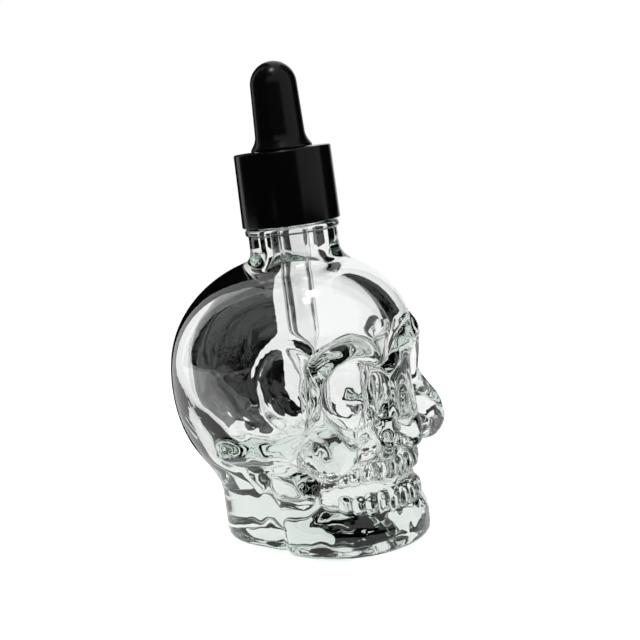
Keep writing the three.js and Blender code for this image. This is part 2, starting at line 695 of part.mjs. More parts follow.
function rubberBulb() {
  const bulbFoot = capTop + FIT_GAP;
  const bulbTop = capTop + BULB_TALL;
  const topRadius = BULB_TOP_DIAMETER / 2;
  const domeFoot = bulbTop - topRadius;
  const seat = pipetteTop + FIT_GAP;
  return turned([
    ...dome(topRadius - BULB_WALL, domeFoot, bulbTop - BULB_WALL).reverse(),
    [BULB_DIAMETER / 2 - BULB_WALL, seat + BULB_WALL],
    [boreInBulb, seat],
    [boreInBulb, flangeBottom],
    [FLANGE_DIAMETER / 2, flangeBottom],
    [FLANGE_DIAMETER / 2, flangeTop],
    [GROOVE_DIAMETER / 2, flangeTop],
    [GROOVE_DIAMETER / 2, bulbFoot],
    [FLARE_DIAMETER / 2, bulbFoot],
    [FLARE_DIAMETER / 2, bulbFoot + FLARE_EDGE],
    [BULB_DIAMETER / 2, bulbFoot + FLARE_TALL],
    ...dome(topRadius, domeFoot, bulbTop),
  ]);
}

function glassPipette() {
  const bottom = pipetteTop - PIPETTE_LENGTH;
  const shoulder = bottom + TIP_LENGTH;
  const outer = PIPETTE_DIAMETER / 2;
  const tip = TIP_DIAMETER / 2;
  const tipBore = tip * TIP_BORE_SHARE;
  const outline = [
    [tip, bottom],
    [tip + TIP_TAPER, shoulder - TIP_SHOULDER],
    [outer, shoulder],
    [outer, pipetteTop],
    [outer - PIPETTE_WALL, pipetteTop],
    [outer - PIPETTE_WALL, shoulder],
    [tipBore + TIP_TAPER / 2, shoulder - TIP_SHOULDER],
    [tipBore, bottom],
    [tip, bottom],
  ];
  return turned(outline, PIPETTE_COLUMNS);
}

const clearGlass = { color: 0xdfe9e4, roughness: 0.05 };
const blackPlastic = { color: 0x101011, roughness: 0.25 };
const blackRubber = { color: 0x141415, roughness: 0.5 };

const assembly = new THREE.Group();
const pieces = [
  ["skull_bottle", skullBottle(), clearGlass],
  ["cap_shell", capShell(), blackPlastic],
  ["cap_insert", capInsert(), blackPlastic],
  ["rubber_bulb", rubberBulb(), blackRubber],
  ["glass_pipette", glassPipette(), clearGlass],
];
for (const [name, geometry, finish] of pieces) {
  const piece = new THREE.Mesh(geometry, new THREE.MeshStandardMaterial(finish));
  piece.name = name;
  assembly.add(piece);
}

export default assembly;
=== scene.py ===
"""Skull dropper bottle: a clear glass skull with a black screw cap, a rubber bulb and a glass pipette."""

import math

import bpy
import numpy as np
from mathutils import Matrix, Vector


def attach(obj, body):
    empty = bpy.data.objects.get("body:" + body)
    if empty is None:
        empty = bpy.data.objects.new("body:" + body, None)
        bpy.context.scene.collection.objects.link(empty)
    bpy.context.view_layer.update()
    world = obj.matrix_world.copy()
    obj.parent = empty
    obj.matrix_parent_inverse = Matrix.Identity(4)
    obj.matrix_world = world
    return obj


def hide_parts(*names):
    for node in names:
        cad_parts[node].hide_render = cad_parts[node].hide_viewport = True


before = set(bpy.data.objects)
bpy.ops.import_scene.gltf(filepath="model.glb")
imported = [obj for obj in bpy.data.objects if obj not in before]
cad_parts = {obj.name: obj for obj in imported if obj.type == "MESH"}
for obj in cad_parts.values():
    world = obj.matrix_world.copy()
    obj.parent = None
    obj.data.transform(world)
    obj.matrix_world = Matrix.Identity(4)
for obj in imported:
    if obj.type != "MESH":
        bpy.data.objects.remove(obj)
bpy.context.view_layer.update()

MM = 0.001
TINY = 1e-6

# Head, in millimetres as the solids are
HEAD_LENGTH = 62.4
HEAD_WIDTH = 49.0
CROWN_HEIGHT = 66.0
HEAD_LEVEL = 41.0
HEAD_BEHIND_NECK = 6.1
HEAD_LEAN = 0.1
NAPE = dict(width=41.0, length=47.0, depth=18.5, level=28.5, behind=11.0)
FOREHEAD = dict(width=38.0, length=41.8, tall=34.0, level=47.0, setback=1.5)
HEAD_BLEND = 8.0
FOREHEAD_BLEND = 6.0
FACE_FRONT = HEAD_BEHIND_NECK - HEAD_LENGTH / 2

# Face
BROW = dict(level=45.0, thick=4.5, setback=2.9, arch=1.4, sweep=1.2, apart=4.4)
BROW_END = dict(drop=3.0, apart=32.0, setback=8.6)
EYE = dict(apart=21.0, level=35.4, width=15.0, tall=17.3, depth=12.6, setback=3.7, turn=0.35, lean=0.22)
EYE_RIM = 1.8
TEMPLE = dict(level=37.8, length=17.0, tall=24.0, depth=4.6, bulge=8.0, before=11.2, turn=0.42)
TEMPLE_RIM = 0.8
CHEEK = dict(apart=35.2, level=25.0, tall=12.0, width=7.6, length=9.2, setback=7.9)
EAR_BAR = dict(level=24.8, thick=4.8, end_thick=4.2, spread=43.6, behind=8.0)
NOSE = dict(root=41.4, root_setback=1.6, root_thick=5.1, tip=30.6, out=2.6, thick=4.4, foot_width=9.6)
NOSE_HOLE = dict(level=23.6, width=9.2, depth=6.0, rim=1.2)
FACE = dict(width=27.0, length=24.0, tall=32.0, level=31.0, setback=1.0)
FACE_BLEND = 3.0
CHEEK_BLEND = 5.0
NOSE_BLEND = 1.8

# Jaws and teeth
UPPER = dict(width=24.4, level=18.6, tall=4.2, root=3.6)
LOWER = dict(width=23.4, level=11.2, tall=3.6, root=-3.8)
ARCH_LENGTH = 13.0
TEETH_PER_SIDE = 7
TOOTH_OUT = 1.0
TOOTH_SWELL = 0.97
TOOTH_SQUARENESS = 3.0
TOOTH_GUM = 0.4
ROOT_TALL = 6.0
ROOT_SUNK = 1.0
GUM_SETBACK = 1.2
GUM_MARGIN = 0.4
UPPER_GUM = dict(rise=4.0, tall=17.0)
LOWER_GUM = dict(drop=2.6, tall=13.0)
MOUTH = dict(level=14.8, tall=15.0, setback=0.8)
JAW = dict(level=4.6, thick=8.8, width=36.4, rise=1.8, angle=4.6, steps=13)
CHIN = dict(width=13.0, length=8.8, setback=0.2)
RAMUS = dict(width=11.2, thick=6.4, tall=22.0, out=1.2)
JAW_BLEND = 1.6
PEDESTAL = dict(width=33.0, length=41.2, tall=18.0, behind=5.9, squareness=2.5)
CORE = dict(width=24.6, length=42.4, tall=30.0, level=14.0, before=1.0)
CORE_BLEND = 4.0
HEEL_RADIUS = 2.2
PUNT = dict(width=25.0, length=40.0, rise=1.6, behind=1.0, rim=0.6)
ARCH_MIDDLE = FACE_FRONT + GUM_SETBACK + ARCH_LENGTH

# Glass, with the neck and its finish
WALL = 3.0
FOREHEAD_WALL = 5.0
BOTTOM_THICK = 8.5
BOTTOM_RADIUS = 5.0
JOWL = dict(width=26.0, length=38.0, tall=34.0, level=23.0, before=1.0)
BORE_FLARE = 4.0
NECK_RADIUS = 10.1
NECK_FILLET = 3.0
RING_RADIUS = 10.7
RING_THICK = 1.4
RING_FILLET = 0.3
RING_EDGE = 0.65
FINISH_RADIUS = 8.0
BORE_RADIUS = 5.3
LIP_EDGE = 0.5
THREAD = dict(pitch=3.175, out=0.45, wide=1.5, above_ring=2.6, turns=1.6, run_out=0.12, start=0.5)

# Waves of the blown hollow's wall and fine unevenness of the moulded skin
RIPPLE = dict(head=0.02, face=0.9, length=3.2, cross_share=0.5, cross_length=1.4, phase=1.0)
SKIN = dict(unevenness=0.09, length=0.95, top=50.0, back=12.0, fade=8.0)
SKIN_PHASES = (0.0, 1.0, 2.0)

# Lattice that the skull is drawn on, and the finer grid of the neck that is spliced on to it
GLASS_CELL = 0.6
LATTICE_MARGIN = 1.5
SNAP_PASSES = 4
SNAP_TICK = 0.02
LEAST_SLOPE = 0.3
FAR = 50.0
NECK_COLUMNS = 96
THREAD_ROW = 0.2
SEAM_BELOW_RING = 1.6

# Dropper
CAP_BOTTOM = 73.0
CAP_TOP = 89.5
CAP_RADIUS = 11.15
CAP_DRAFT = 0.2
SHELL_WALL = 1.0
SHELL_PLATE = 1.0
INSERT_PLATE = 1.3
INSERT_BORE = 9.0
INSERT_RECESS = 0.4
INSERT_RIB = dict(radius=0.45, out=0.4, end_share=0.2, steps=64, sides=12)
GROOVE_RADIUS = 5.3
FLANGE_RADIUS = 7.8
FLANGE_THICK = 2.0
FLARE_RADIUS = 6.9
FLARE_TALL = 2.3
FLARE_EDGE = 0.4
BULB_RADIUS = 5.65
BULB_TOP_RADIUS = 5.25
BULB_TALL = 19.6
BULB_WALL = 1.3
PIPETTE_RADIUS = 3.5
PIPETTE_WALL = 1.0
PIPETTE_LENGTH = 66.0
PIPETTE_IN_BULB = 8.0
TIP_LENGTH = 20.0
TIP_RADIUS = 1.5
TIP_BORE = 0.75
TIP_DRAFT = 0.3
TIP_SHOULDER = 4.0
FIT_GAP = 0.15
RING_GAP = 0.4

# Turned outlines: how far each corner is eased, and how finely curves are drawn
EASE = dict(fine=0.1, hole=0.15, inside=0.2, tip=0.3, cap_foot=0.35, cap_rim=0.45, flange=0.4)
EASE.update(bulb_inside=0.6, bulb_foot=1.2, drawn=1.9)
MOST_EASE = 0.49
EASE_STEPS = 5
DRAWN_STEPS = 8
DOME_STEPS = 14
COLUMNS = 128
PIPETTE_COLUMNS = 96

# Levels and radii that follow from the sizes above
INSERT_TOP = CAP_TOP - SHELL_PLATE - FIT_GAP
FLANGE_TOP = INSERT_TOP - INSERT_PLATE - FIT_GAP
LIP_LEVEL = FLANGE_TOP - FLANGE_THICK - FIT_GAP
FLANGE_BOTTOM = LIP_LEVEL + FIT_GAP
RING_TOP = CAP_BOTTOM - RING_GAP
SEAM_LEVEL = RING_TOP - RING_THICK - SEAM_BELOW_RING
PIPETTE_TOP = FLANGE_BOTTOM + PIPETTE_IN_BULB
HOLE_RADIUS = GROOVE_RADIUS + FIT_GAP
SHELL_INSIDE = CAP_RADIUS - CAP_DRAFT - SHELL_WALL


# Distance formulas for the glass: below zero inside a form, above zero outside it
def ellipsoid(p, middle, radii):
    q = [(v - m) / r for v, m, r in zip(p, middle, radii)]
    reach = np.sqrt(sum(v * v for v in q))
    slope = np.sqrt(sum((v / r) ** 2 for v, r in zip(q, radii)))
    return reach * (reach - 1) / np.maximum(slope, TINY)


def bar(p, joints, skirted=False):
    """A rounded bar through joints (x, y, z, radius). A skirted one runs straight down to the table."""
    x, y, z = p
    nearest = None
    for (ax, ay, az, ar), (bx, by, bz, br) in zip(joints, joints[1:]):
        dx, dy, dz = bx - ax, by - ay, 0.0 if skirted else bz - az
        along = (x - ax) * dx + (y - ay) * dy + (z - az) * dz
        t = np.clip(along / (dx * dx + dy * dy + dz * dz), 0, 1)
        above = z - az - t * (bz - az)
        rise = np.maximum(above, 0) if skirted else above
        gap = np.sqrt((x - ax - t * dx) ** 2 + (y - ay - t * dy) ** 2 + rise**2) - ar - t * (br - ar)
        nearest = gap if nearest is None else np.minimum(nearest, gap)
    return nearest


def join(a, b, softness):
    """Both forms together, with a fillet about as wide as the softness where they meet."""
    near = np.maximum(softness - np.abs(a - b), 0) / softness
    return np.minimum(a, b) - near * near * softness / 4


def cut(a, b, softness):
    """The first form without the second, its new edges rounded by the softness."""
    return -join(-a, b, softness)


def halves(size, *names):
    return tuple(size[name] / 2 for name in names)


def leant(p):
    """The braincase leans forwards the higher it gets."""
    return (p[0], p[1] + HEAD_LEAN * (p[2] - HEAD_LEVEL), p[2])


def braincase(p):
    crown_radii = (HEAD_WIDTH / 2, HEAD_LENGTH / 2, CROWN_HEIGHT - HEAD_LEVEL)
    crown = ellipsoid(leant(p), (0, HEAD_BEHIND_NECK, HEAD_LEVEL), crown_radii)
    forehead_y = FACE_FRONT + FOREHEAD["setback"] + FOREHEAD["length"] / 2
    forehead = ellipsoid(p, (0, forehead_y, FOREHEAD["level"]), halves(FOREHEAD, "width", "length", "tall"))
    return join(crown, forehead, FOREHEAD_BLEND)


def head(p):
    nape_radii = (*halves(NAPE, "width", "length"), NAPE["depth"])
    nape = ellipsoid(p, (0, NAPE["behind"], NAPE["level"]), nape_radii)
    return join(braincase(p), nape, HEAD_BLEND)


def temple(p):
    along = (-TEMPLE["before"] - HEAD_BEHIND_NECK) / (HEAD_LENGTH / 2)
    side = HEAD_WIDTH / 2 * math.sqrt(1 - along * along)
    c, s = math.cos(TEMPLE["turn"]), math.sin(TEMPLE["turn"])
    dx, dy = p[0] - side, p[1] + TEMPLE["before"]
    turned_p = (dx * c - dy * s, dx * s + dy * c, p[2])
    middle = (TEMPLE["bulge"] - TEMPLE["depth"], 0, TEMPLE["level"])
    return ellipsoid(turned_p, middle, (TEMPLE["bulge"], *halves(TEMPLE, "length", "tall")))


def face_bones(p):
    """The brow, the rims of the eyes, the cheekbones and the bars that run back to the ears."""
    rim = BROW["thick"] / 2
    brow_y = FACE_FRONT + BROW["setback"]
    end_x, end_y = BROW_END["apart"] / 2, FACE_FRONT + BROW_END["setback"]
    cheek_x, cheek_y = CHEEK["apart"] / 2, FACE_FRONT + CHEEK["setback"]
    eye_x, under_eye = EYE["apart"] / 2, EYE["level"] - EYE["tall"] / 2 - rim
    rims = bar(
        p,
        [
            (BROW["apart"] / 2, brow_y, BROW["level"], rim),
            (eye_x, brow_y + BROW["sweep"], BROW["level"] + BROW["arch"], rim),
            (end_x, end_y, BROW["level"] - BROW_END["drop"], rim),
            (end_x, end_y, EYE["level"], rim),
            (cheek_x, cheek_y, CHEEK["level"], rim),
            (eye_x, brow_y + BROW["sweep"], under_eye, rim),
            (eye_x / 2, brow_y + BROW["sweep"], under_eye, rim),
        ],
    )
    cheek = ellipsoid(p, (cheek_x, cheek_y, CHEEK["level"]), halves(CHEEK, "width", "length", "tall"))
    ear_bar = bar(
        p,
        [
            (cheek_x, cheek_y, EAR_BAR["level"], EAR_BAR["thick"] / 2),
            (EAR_BAR["spread"] / 2, EAR_BAR["behind"], EAR_BAR["level"], EAR_BAR["end_thick"] / 2),
        ],
    )
    return join(join(rims, cheek, CHEEK_BLEND), ear_bar, CHEEK_BLEND)


def eye(p):
    """The eye's hollow, which looks outwards by its turn and whose top leans outwards."""
    x, y, z = p
    c, s = math.cos(EYE["turn"]), math.sin(EYE["turn"])
    dx, dy, dz = x - EYE["apart"] / 2, y - FACE_FRONT - EYE["setback"], z - EYE["level"]
    across, deep = dx * c + dy * s, dy * c - dx * s
    c, s = math.cos(EYE["lean"]), math.sin(EYE["lean"])
    q = (across * c - dz * s, deep, across * s + dz * c)
    return ellipsoid(q, (0, 0, 0), (EYE["width"] / 2, EYE["depth"] - EYE["setback"], EYE["tall"] / 2))


def nose(p):
    root_y, thick = FACE_FRONT + NOSE["root_setback"], NOSE["thick"] / 2
    tip_y = FACE_FRONT - NOSE["out"] + thick
    bridge = bar(p, [(0, root_y, NOSE["root"], NOSE["root_thick"] / 2), (0, tip_y, NOSE["tip"], thick)])
    root_x = (NOSE["root_thick"] / 2 + BROW["apart"] / 2) / 2
    flank_foot = (NOSE["foot_width"] / 2, root_y, NOSE_HOLE["level"], thick)
    flank = bar(p, [(root_x, root_y, NOSE["root"], thick), flank_foot])
    return join(bridge, flank, NOSE_BLEND)


def nose_hole(p):
    """A slot through the face that widens downwards into two lobes, each half of its width across."""
    x, y, z = p
    lobe = NOSE_HOLE["width"] / 4
    slot = bar((x, 0 * y, z), [(0, 0, NOSE["tip"] - lobe, lobe / 2), (lobe, 0, NOSE_HOLE["level"], lobe)])
    return -join(-slot, FACE_FRONT + NOSE_HOLE["depth"] - y, FACE_BLEND)


def teeth(p, width, level, tall, root):
    """A row of squared teeth along the dental arch, each with the ridge of its root in the gum."""
    found = np.full(p[0].shape, FAR)
    near = (p[1] < ARCH_MIDDLE + ROOT_TALL) & (np.abs(p[2] - level) < ROOT_TALL + tall)
    x, y, z = (v[near] for v in p)
    if not x.size:
        return found
    step = math.pi / (2 * TEETH_PER_SIDE)
    nearest = np.full(x.shape, FAR)
    for place in range(TEETH_PER_SIDE):
        turn = (place + 0.5) * step
        s, c = math.sin(turn), math.cos(turn)
        half = (width / 2 * c * c + ARCH_LENGTH * s * s) * step / 2
        dx = x - (width / 2 - TOOTH_OUT) * s
        dy = y - ARCH_MIDDLE + (ARCH_LENGTH - TOOTH_OUT) * c
        u, v = dx * c + dy * s, dy * c - dx * s
        radii = (half * TOOTH_SWELL, TOOTH_OUT * 2, tall / 2)
        shares = [np.abs(d / r) ** TOOTH_SQUARENESS for d, r in zip((u, v, z - level), radii)]
        crown = (sum(shares) ** (1 / TOOTH_SQUARENESS) - 1) * half
        ridge = ellipsoid((u, v, z - level - root), (0, 0, 0), (half, TOOTH_OUT * 2, ROOT_TALL / 2))
        nearest = np.minimum(nearest, join(crown, ridge + TOOTH_OUT * ROOT_SUNK, TOOTH_GUM))
    found[near] = nearest
    return found


def upper_jaw(p):
    """The face under the eyes, the upper gum and teeth, and the glass that fills the mouth behind them."""
    face_y = FACE_FRONT + FACE["setback"] + FACE["length"] / 2
    face = ellipsoid(p, (0, face_y, FACE["level"]), halves(FACE, "width", "length", "tall"))
    gum_radii = (UPPER["width"] / 2, ARCH_LENGTH - GUM_MARGIN, UPPER_GUM["tall"] / 2)
    gum = ellipsoid(p, (0, ARCH_MIDDLE, UPPER["level"] + UPPER_GUM["rise"]), gum_radii)
    behind = MOUTH["setback"]
    mouth_radii = (UPPER["width"] / 2 - behind, ARCH_LENGTH - behind, MOUTH["tall"] / 2)
    mouth = ellipsoid(p, (0, ARCH_MIDDLE, MOUTH["level"]), mouth_radii)
    jaw = join(join(face, gum, FACE_BLEND), mouth, TOOTH_GUM)
    return join(jaw, teeth(p, **UPPER), TOOTH_GUM)


def lower_jaw(p):
    """The jaw round the chin with its rising branches, the lower gum and teeth."""
    thick = JAW["thick"] / 2
    chin_y = FACE_FRONT + CHIN["setback"] + CHIN["length"] / 2
    angle_x = JAW["width"] / 2 - thick
    sweep = []
    for share in np.linspace(0, 1, JAW["steps"]):
        turn = share * math.pi / 2
        y = -JAW["angle"] + (chin_y + JAW["angle"]) * math.cos(turn)
        sweep.append((angle_x * math.sin(turn), y, JAW["level"] + JAW["rise"] * share, thick))
    body = bar(p, sweep, skirted=True)
    chin = ellipsoid(p, (0, chin_y, JAW["level"]), (*halves(CHIN, "width", "length"), JAW["level"]))
    ramus_middle = (angle_x + RAMUS["out"], -JAW["angle"], JAW["level"] + RAMUS["tall"] / 2)
    ramus = ellipsoid(p, ramus_middle, halves(RAMUS, "thick", "width", "tall"))
    gum_radii = (LOWER["width"] / 2, ARCH_LENGTH - GUM_MARGIN, LOWER_GUM["tall"] / 2)
    gum = ellipsoid(p, (0, ARCH_MIDDLE, LOWER["level"] - LOWER_GUM["drop"]), gum_radii)
    jaw = join(join(join(body, chin, JAW_BLEND), ramus, JAW_BLEND), gum, JAW_BLEND)
    return join(jaw, teeth(p, **LOWER), TOOTH_GUM)


def pedestal(p):
    x, y, z = p
    rx, ry = halves(PEDESTAL, "width", "length")
    power = PEDESTAL["squareness"]
    oval = (np.abs(x / rx) ** power + np.abs((y - PEDESTAL["behind"]) / ry) ** power) ** (1 / power)
    return np.maximum((oval - 1) * min(rx, ry), z - PEDESTAL["tall"])


def outside(side, y, z):
    """The outer skin, the same on both sides, with a plain neck that runs on upwards."""
    p = (np.abs(side), y, z)
    core = ellipsoid(p, (0, -CORE["before"], CORE["level"]), halves(CORE, "width", "length", "tall"))
    skull = cut(head(p), temple(p), TEMPLE_RIM)
    skull = join(skull, join(core, pedestal(p), CORE_BLEND), CORE_BLEND)
    skull = join(skull, upper_jaw(p), FACE_BLEND)
    skull = join(skull, face_bones(p), FACE_BLEND)
    skull = cut(skull, eye(p), EYE_RIM)
    skull = cut(join(skull, nose(p), NOSE_BLEND), nose_hole(p), NOSE_HOLE["rim"])
    skull = join(skull, lower_jaw(p), JAW_BLEND)
    neck = np.maximum(np.hypot(side, y) - NECK_RADIUS, HEAD_LEVEL - z)
    skull = join(skull, neck, NECK_FILLET)
    on_face = np.clip(np.minimum(SKIN["top"] - z, SKIN["back"] - y) / SKIN["fade"], 0, 1)
    waves = math.prod(np.sin(v / SKIN["length"] + phase) for v, phase in zip((side, y, z), SKIN_PHASES))
    skull = skull + SKIN["unevenness"] * on_face * waves
    punt = ellipsoid(p, (0, PUNT["behind"], 0), (*halves(PUNT, "width", "length"), PUNT["rise"]))
    return cut(cut(skull, z, HEEL_RADIUS), punt, PUNT["rim"])


def hollow(side, y, z, skin):
    """The blown bubble inside, slightly wavy, which keeps a full wall of glass under the skin."""
    p = (side, y, z)
    ahead = np.clip((HEAD_BEHIND_NECK - y) / (HEAD_LENGTH / 2), 0, 1)
    dome = braincase(p) + WALL + (FOREHEAD_WALL - WALL) * ahead**2
    jowl = ellipsoid(p, (0, -JOWL["before"], JOWL["level"]), halves(JOWL, "width", "length", "tall"))
    bubble = cut(join(dome, jowl, HEAD_BLEND), z - BOTTOM_THICK, BOTTOM_RADIUS)
    unevenness = RIPPLE["head"] + RIPPLE["face"] * np.clip(1 - z / HEAD_LEVEL, 0, 1)
    wave = np.sin(side / RIPPLE["length"] + RIPPLE["phase"]) * np.sin((y + z) / RIPPLE["length"])
    cross_wave = np.sin((y - z - side) / RIPPLE["cross_length"])
    bubble = bubble + unevenness * (wave + RIPPLE["cross_share"] * cross_wave)
    walled = -join(-bubble, -skin - WALL, BOTTOM_RADIUS)
    bore = np.maximum(np.hypot(side, y) - BORE_RADIUS, HEAD_LEVEL - z)
    return join(walled, bore, BORE_FLARE)


def glass(side, y, z):
    skin = outside(side, y, z)
    return np.maximum(skin, -hollow(side, y, z, skin))


def unpinched(value):
    """Fills lattice points where two stretches of glass would meet in a mere edge."""
    while True:
        filled = 0
        for axis in range(3):
            grid = np.moveaxis(value, axis, 0)
            a, b, c, d = grid[:, :-1, :-1], grid[:, 1:, :-1], grid[:, :-1, 1:], grid[:, 1:, 1:]
            for one, other, gap, far_gap in ((a, d, b, c), (b, c, a, d)):
                pinched = (one < 0) & (other < 0) & (gap >= 0) & (far_gap >= 0)
                gap[pinched] = -TINY
                filled += pinched.sum()
        if not filled:
            return value


def skinned(form, low, high, cell):
    """The surface of a form: a point in each lattice cell that it crosses, drawn on to it.

    It stays open where the form runs out of the lattice.
    """
    axes = [np.arange(a, b + cell, cell) for a, b in zip(low, high)]
    lattice = np.meshgrid(*axes, indexing="ij")
    value = unpinched(form(*lattice))
    inside = value < 0
    corners = [(i, j, k) for i in (0, 1) for j in (0, 1) for k in (0, 1)]
    counts = [n - 1 for n in value.shape]
    mixed = np.zeros(counts, int)
    for i, j, k in corners:
        mixed += inside[i : i + counts[0], j : j + counts[1], k : k + counts[2]]
    crossed = np.argwhere((mixed > 0) & (mixed < len(corners)))
    number = np.full(counts, -1)
    number[tuple(crossed.T)] = np.arange(len(crossed))

    total = np.zeros((len(crossed), 3))
    weight = np.zeros((len(crossed), 1))
    for a in corners:
        for axis in range(3):
            if a[axis]:
                continue
            b = tuple(v + (n == axis) for n, v in enumerate(a))
            at_a = value[tuple((crossed + a).T)]
            at_b = value[tuple((crossed + b).T)]
            change = (at_a < 0) != (at_b < 0)
            share = np.where(change, at_a / np.where(change, at_a - at_b, 1), 0)[:, None]
            total += np.where(change[:, None], np.array(a) + share * (np.array(b) - a), 0)
            weight += change[:, None]
    points = (crossed + total / weight) * cell + [axis[0] for axis in axes]

    faces = []
    for axis in range(3):
        u, v = (axis + 1) % 3, (axis + 2) % 3
        first = [slice(1, -1)] * 3
        last = [slice(1, -1)] * 3
        first[axis], last[axis] = slice(0, -1), slice(1, None)
        edge = np.argwhere(inside[tuple(first)] != inside[tuple(last)])
        edge[:, u] += 1
        edge[:, v] += 1
        outward = inside[tuple(edge.T)]
        ring = []
        for du, dv in ((-1, -1), (0, -1), (0, 0), (-1, 0)):
            spot = edge.copy()
            spot[:, u] += du
            spot[:, v] += dv
            ring.append(number[tuple(spot.T)])
        ring = np.stack(ring, 1)
        faces.append(np.where(outward[:, None], ring, ring[:, ::-1]))
    faces = np.concatenate(faces)

    for _ in range(SNAP_PASSES):
        here = form(*points.T)
        nudged = [form(*(points + d).T) for d in np.eye(3) * SNAP_TICK]
        slope = (np.stack(nudged, 1) - here[:, None]) / SNAP_TICK
        stride = np.clip(here / np.maximum((slope**2).sum(1), LEAST_SLOPE), -cell / 2, cell / 2)
        points = points - stride[:, None] * slope
    return points.tolist(), faces.tolist()


def mesh_object(name, points, faces, material):
    """A smooth-shaded mesh in the row frame from points in millimetres."""
    mesh = bpy.data.meshes.new(name)
    mesh.from_pydata([tuple(v * MM for v in point) for point in points], [], faces)
    mesh.validate()
    mesh.shade_smooth()
    mesh.materials.append(material)
    piece = bpy.data.objects.new(name, mesh)
    bpy.context.collection.objects.link(piece)
    return piece


def eased(outline, steps=EASE_STEPS):
    """An outline of (radius, height, ease) corners, with each eased corner drawn as a small curve."""
    drawn = []
    for n, (r, z, ease) in enumerate(outline):
        here = np.array((r, z))
        if not ease:
            drawn.append(here)
            continue
        before = np.array(outline[n - 1][:2]) - here
        after = np.array(outline[(n + 1) % len(outline)][:2]) - here
        start = here + before * min(MOST_EASE, ease / np.linalg.norm(before))
        end = here + after * min(MOST_EASE, ease / np.linalg.norm(after))
        for t in np.linspace(0, 1, steps):
            drawn.append((1 - t) ** 2 * start + 2 * t * (1 - t) * here + t * t * end)
    return drawn


def spun(outline, columns=COLUMNS, closed=True, swell=None):
    """An outline turned round the neck's axis and swollen where asked, with single points on the axis."""
    points, rows = [], []
    for r, z in outline:
        if r < TINY:
            rows.append([len(points)] * columns)
            points.append((0, 0, z))
            continue
        rows.append(list(range(len(points), len(points) + columns)))
        for a in np.linspace(0, 2 * math.pi, columns, endpoint=False):
            out = r + swell(r, a, z) if swell else r
            points.append((out * math.cos(a), out * math.sin(a), z))
    faces = []
    pairs = list(zip(rows, rows[1:])) + ([(rows[-1], rows[0])] if closed else [])
    for low, high in pairs:
        for n in range(columns):
            m = (n + 1) % columns
            corner = list(dict.fromkeys((low[n], low[m], high[m], high[n])))
            if len(corner) > 2:
                faces.append(corner)
    return points, faces


def turned(name, outline, material, **choices):
    return mesh_object(name, *spun(outline, **choices), material)


def open_loops(faces):
    """The open edges of a mesh, as loops of point numbers in the order of its faces."""
    edges = {edge: None for face in faces for edge in zip(face, face[1:] + face[:1])}
    following = {a: b for a, b in edges if (b, a) not in edges}
    found = []
    while following:
        here = next(iter(following))
        loop = []
        while here in following:
            loop.append(here)
            here = following.pop(here)
        found.append(loop)
    return found


def zipped(points, below, above):
    """Triangles between two loops that run the same way round the neck's axis."""
    nearest = min(range(len(above)), key=lambda n: math.dist(points[above[n]], points[below[0]]))
    below = below + below[:1]
    above = above[nearest:] + above[: nearest + 1]
    turns = []
    for loop in (below, above):
        turn = np.unwrap([math.atan2(points[n][1], points[n][0]) for n in loop])
        turns.append(np.abs(turn - turn[0]))
    faces = []
    i, j = 0, 0
    while i + j < len(below) + len(above) - 2:
        above_done = j == len(above) - 1
        if above_done or (i < len(below) - 1 and turns[0][i + 1] <= turns[1][j + 1]):
            faces.append([below[i + 1], below[i], above[j]])
            i += 1
        else:
            faces.append([above[j], above[j + 1], below[i]])
            j += 1
    return faces


def spliced(points, faces, upper_points, upper_faces):
    """Two open meshes round the neck's axis made one, with triangles between their facing loops."""
    start = len(points)
    points = points + upper_points
    upper_faces = [[n + start for n in face] for face in upper_faces]

    def radius(loop):
        return math.hypot(*points[loop[0]][:2])

    pairs = zip(*(sorted(open_loops(part), key=radius) for part in (faces, upper_faces)))
    between = [face for below, above in pairs for face in zipped(points, below, above[::-1])]
    return points, faces + upper_faces + between


# Materials
WHITE = (1.0, 1.0, 1.0, 1.0)
SRGB = dict(full=255, knee=0.04045, slope=12.92, offset=0.055, power=2.4)
GLASS_SHADE = "#f1f2f1"
GLASS_IOR = 1.5
PLASTIC_IOR = 1.5
MOULD_SHEEN = 0.15
MOULD_DETAIL = 3.0
MOULD_RELIEF = 0.15


def linear(code):
    """An sRGB hex colour as linear RGBA."""
    colour = []
    for part in bytes.fromhex(code[1:]):
        v = part / SRGB["full"]
        curved = ((v + SRGB["offset"]) / (1 + SRGB["offset"])) ** SRGB["power"]
        colour.append(v / SRGB["slope"] if v <= SRGB["knee"] else curved)
    return (*colour, 1.0)


def node(tree, kind, values=None, links=None, **settings):
    """Adds a node with its settings, gives its inputs values and joins others to earlier nodes' outputs."""
    made = tree.nodes.new(kind)
    for name, value in settings.items():
        setattr(made, name, value)
    for name, value in (values or {}).items():
        made.inputs[name].default_value = value
    for name, source in (links or {}).items():
        tree.links.new(source, made.inputs[name])
    return made


def material(name):
    made = bpy.data.materials.new(name)
    made.use_nodes = True
    made.node_tree.nodes.clear()
    return made, made.node_tree


def clear_glass(name, tint, strength):
    """Soda-lime glass, fire-polished: sharp bends of light, dark edges and green where it is thick."""
    made, tree = material(name)
    body = node(
        tree,
        "ShaderNodeBsdfPrincipled",
        {"Base Color": WHITE, "Roughness": 0.0, "IOR": GLASS_IOR, "Transmission Weight": 1.0},
    )
    through = node(tree, "ShaderNodeBsdfTransparent", {"Color": linear(GLASS_SHADE)})
    path = node(tree, "ShaderNodeLightPath")
    mixed = node(
        tree,
        "ShaderNodeMixShader",
        links={0: path.outputs["Is Shadow Ray"], 1: body.outputs[0], 2: through.outputs[0]},
    )
    dye = node(tree, "ShaderNodeVolumeAbsorption", {"Color": linear(tint), "Density": strength})
    node(tree, "ShaderNodeOutputMaterial", links={"Surface": mixed.outputs[0], "Volume": dye.outputs[0]})
    return made


